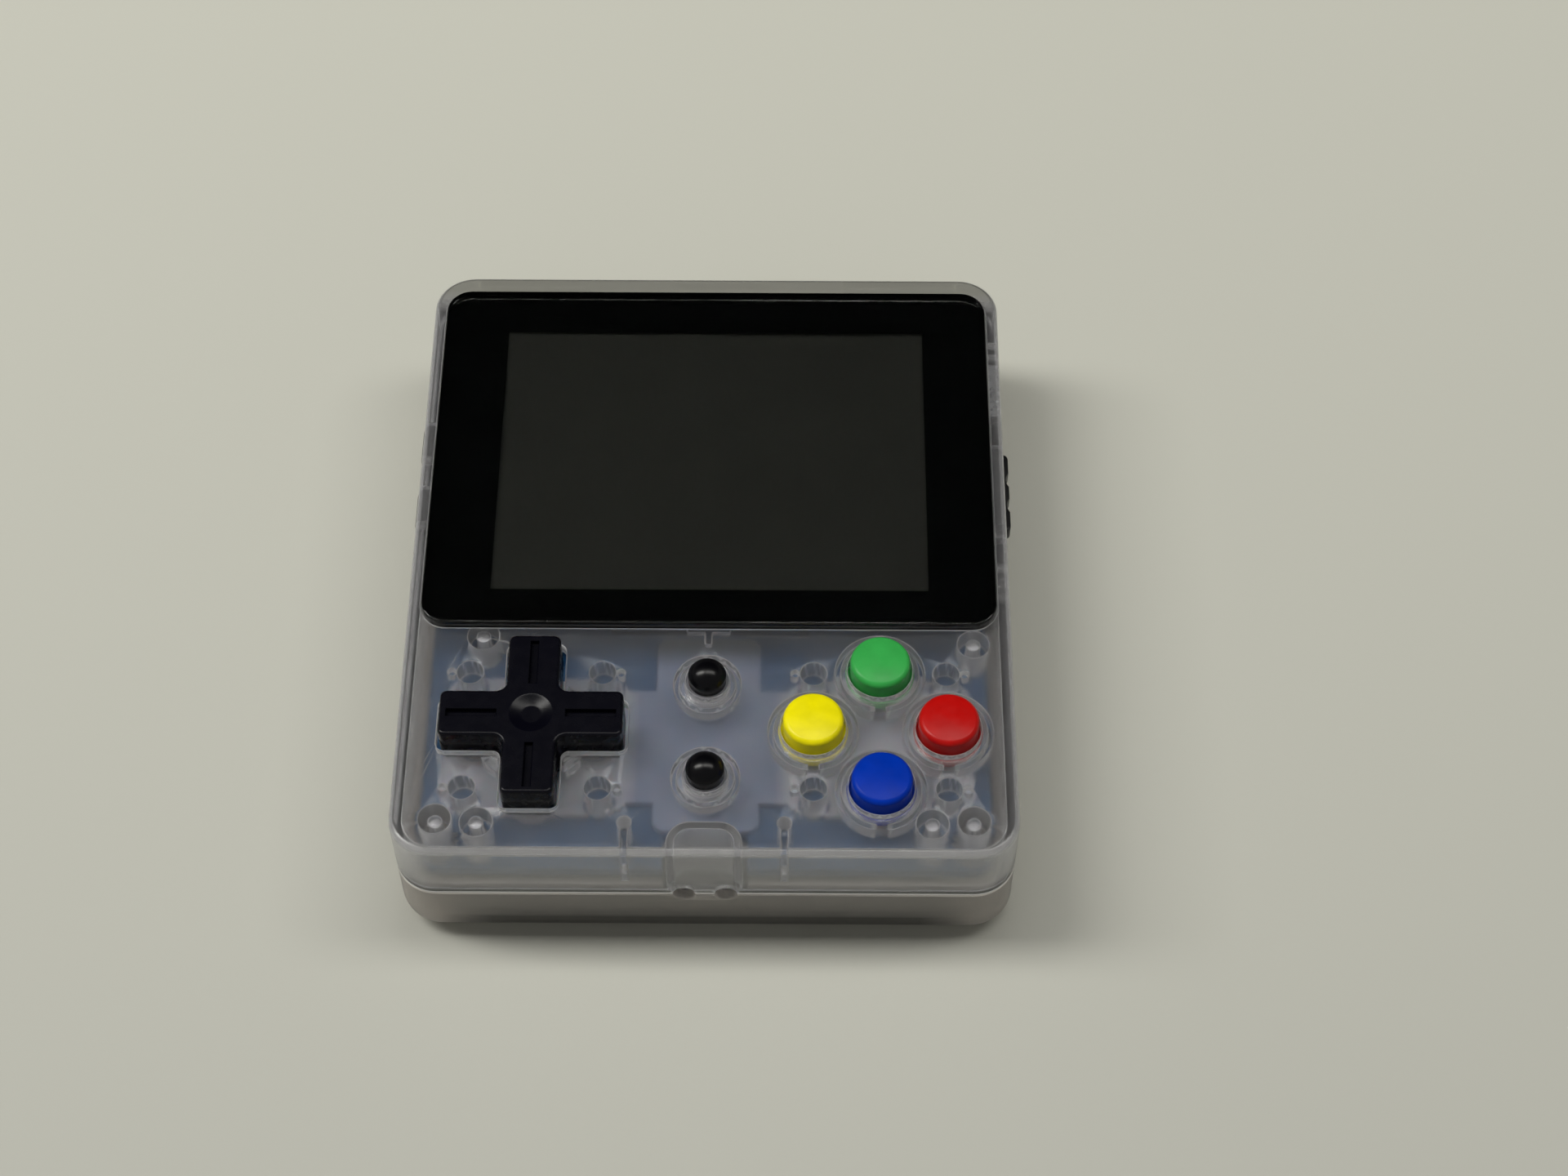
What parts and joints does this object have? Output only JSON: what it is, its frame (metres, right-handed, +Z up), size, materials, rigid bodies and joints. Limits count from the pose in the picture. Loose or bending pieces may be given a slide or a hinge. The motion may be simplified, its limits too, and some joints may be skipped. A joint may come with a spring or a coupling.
{
  "type": "handheld game console",
  "caption": "Slab handheld game console with a frosted see-through case, landscape screen above a cross pad, round action buttons, side keys and a sliding battery door.",
  "frame": {"origin": "on the resting plane, under the middle of the case's outline", "axes": "+X to the player's right, +Y along the case away from the player (the screen end), +Z up out of the deck"},
  "size_m": [0.0737, 0.086, 0.0224],
  "materials": {
    "frosted_front": "clear polycarbonate frosted to a milky satin, inner parts showing through",
    "frosted_rear": "clear polycarbonate frosted to a milky satin, slightly denser",
    "lens": "polished acrylic printed black from behind",
    "black_tape": "matt foam tape",
    "display": "unlit display glass, dark grey",
    "backlight": "white light guide in a pale frame",
    "foam": "matt foam",
    "flex": "amber polyimide ribbon",
    "ivory_plastic": "ivory connector plastic",
    "circuit_board": "blue solder mask, satin",
    "silicone": "milky silicone",
    "key_rubber": "dark conductive rubber",
    "black_gloss": "moulded black, semi-gloss",
    "black_matte": "moulded black, satin",
    "green_plastic": "moulded green, satin gloss",
    "yellow_plastic": "moulded yellow, satin gloss",
    "red_plastic": "moulded red, satin gloss",
    "blue_plastic": "moulded blue, satin gloss",
    "metal": "tinned steel",
    "speaker_body": "black speaker basket",
    "battery_wrap": "plain blue wrap with no printing",
    "gold": "gold-plated spring contacts",
    "chip": "black moulded packages with no marking",
    "capacitor": "aluminium cans",
    "screw_steel": "zinc-plated steel"
  },
  "bodies": {
    "console": {"front_shell": "frosted_front", "rear_shell": "frosted_rear", "screen_lens": "lens", "lens_tape": "black_tape", "lcd_glass": "display", "lcd_backlight": "backlight", "lcd_pads": "foam", "lcd_flex": "flex", "lcd_connector": "ivory_plastic", "main_board": "circuit_board", "button_sheet": "silicone", "power_switch": "metal", "volume_switches": "metal", "shoulder_switches": "metal", "audio_jack": "black_matte", "usb_port": "metal", "card_slot": "metal", "led_holder": "black_matte", "speaker": "speaker_body", "battery_pack": "battery_wrap", "contact_block": "black_matte", "battery_springs": "gold", "processor": "chip", "memory_chip": "chip", "audio_amplifier": "chip", "power_inductor": "chip", "crystal": "metal", "capacitors": "capacitor", "case_screws": "screw_steel", "board_screws": "screw_steel"},
    "battery_door": {"battery_door": "frosted_rear"},
    "memory_card": {"memory_card": "black_matte"},
    "dpad_rocker": {"dpad_end_keys": "key_rubber"},
    "dpad": {"dpad": "black_gloss", "dpad_side_keys": "key_rubber"},
    "green_button": {"green_button": "green_plastic", "green_key": "key_rubber"},
    "yellow_button": {"yellow_button": "yellow_plastic", "yellow_key": "key_rubber"},
    "red_button": {"red_button": "red_plastic", "red_key": "key_rubber"},
    "blue_button": {"blue_button": "blue_plastic", "blue_key": "key_rubber"},
    "start_button": {"start_button": "black_gloss", "start_key": "key_rubber"},
    "select_button": {"select_button": "black_gloss", "select_key": "key_rubber"},
    "power_slider": {"power_slider": "black_matte"},
    "volume_up_key": {"volume_up_key": "black_matte"},
    "volume_down_key": {"volume_down_key": "black_matte"},
    "left_shoulder": {"left_shoulder": "black_matte"},
    "right_shoulder": {"right_shoulder": "black_matte"}
  },
  "joints": [
    {"name": "green_press", "type": "slide", "parent": "console", "child": "green_button", "axis": [0, 0, -1], "range_m": [0, 0.0009], "stiffness_N_per_m": 1000},
    {"name": "yellow_press", "type": "slide", "parent": "console", "child": "yellow_button", "axis": [0, 0, -1], "range_m": [0, 0.0009], "stiffness_N_per_m": 1000},
    {"name": "red_press", "type": "slide", "parent": "console", "child": "red_button", "axis": [0, 0, -1], "range_m": [0, 0.0009], "stiffness_N_per_m": 1000},
    {"name": "blue_press", "type": "slide", "parent": "console", "child": "blue_button", "axis": [0, 0, -1], "range_m": [0, 0.0009], "stiffness_N_per_m": 1000},
    {"name": "start_press", "type": "slide", "parent": "console", "child": "start_button", "axis": [0, 0, -1], "range_m": [0, 0.0008], "stiffness_N_per_m": 1000},
    {"name": "select_press", "type": "slide", "parent": "console", "child": "select_button", "axis": [0, 0, -1], "range_m": [0, 0.0008], "stiffness_N_per_m": 1000},
    {"name": "dpad_up_down", "type": "hinge", "parent": "console", "child": "dpad_rocker", "pos_m": [-0.0203, -0.0254, 0.0162], "axis": [1, 0, 0], "range_deg": [-4, 4], "stiffness_Nm_per_rad": 0.1},
    {"name": "dpad_left_right", "type": "hinge", "parent": "dpad_rocker", "child": "dpad", "pos_m": [-0.0203, -0.0254, 0.0162], "axis": [0, 1, 0], "range_deg": [-4, 4], "stiffness_Nm_per_rad": 0.1},
    {"name": "power_slide", "type": "slide", "parent": "console", "child": "power_slider", "axis": [0, -1, 0], "range_m": [0, 0.002]},
    {"name": "volume_up_press", "type": "slide", "parent": "console", "child": "volume_up_key", "axis": [1, 0, 0], "range_m": [0, 0.00035], "stiffness_N_per_m": 2000},
    {"name": "volume_down_press", "type": "slide", "parent": "console", "child": "volume_down_key", "axis": [1, 0, 0], "range_m": [0, 0.00035], "stiffness_N_per_m": 2000},
    {"name": "left_shoulder_press", "type": "slide", "parent": "console", "child": "left_shoulder", "axis": [0, -1, 0], "range_m": [0, 0.0006], "stiffness_N_per_m": 1500},
    {"name": "right_shoulder_press", "type": "slide", "parent": "console", "child": "right_shoulder", "axis": [0, -1, 0], "range_m": [0, 0.0006], "stiffness_N_per_m": 1500},
    {"name": "battery_door_slide", "type": "slide", "parent": "console", "child": "battery_door", "axis": [0, 1, 0], "range_m": [0, 0.005]},
    {"name": "memory_card_slide", "type": "slide", "parent": "console", "child": "memory_card", "axis": [0, 1, 0], "range_m": [0, 0.01]}
  ]
}
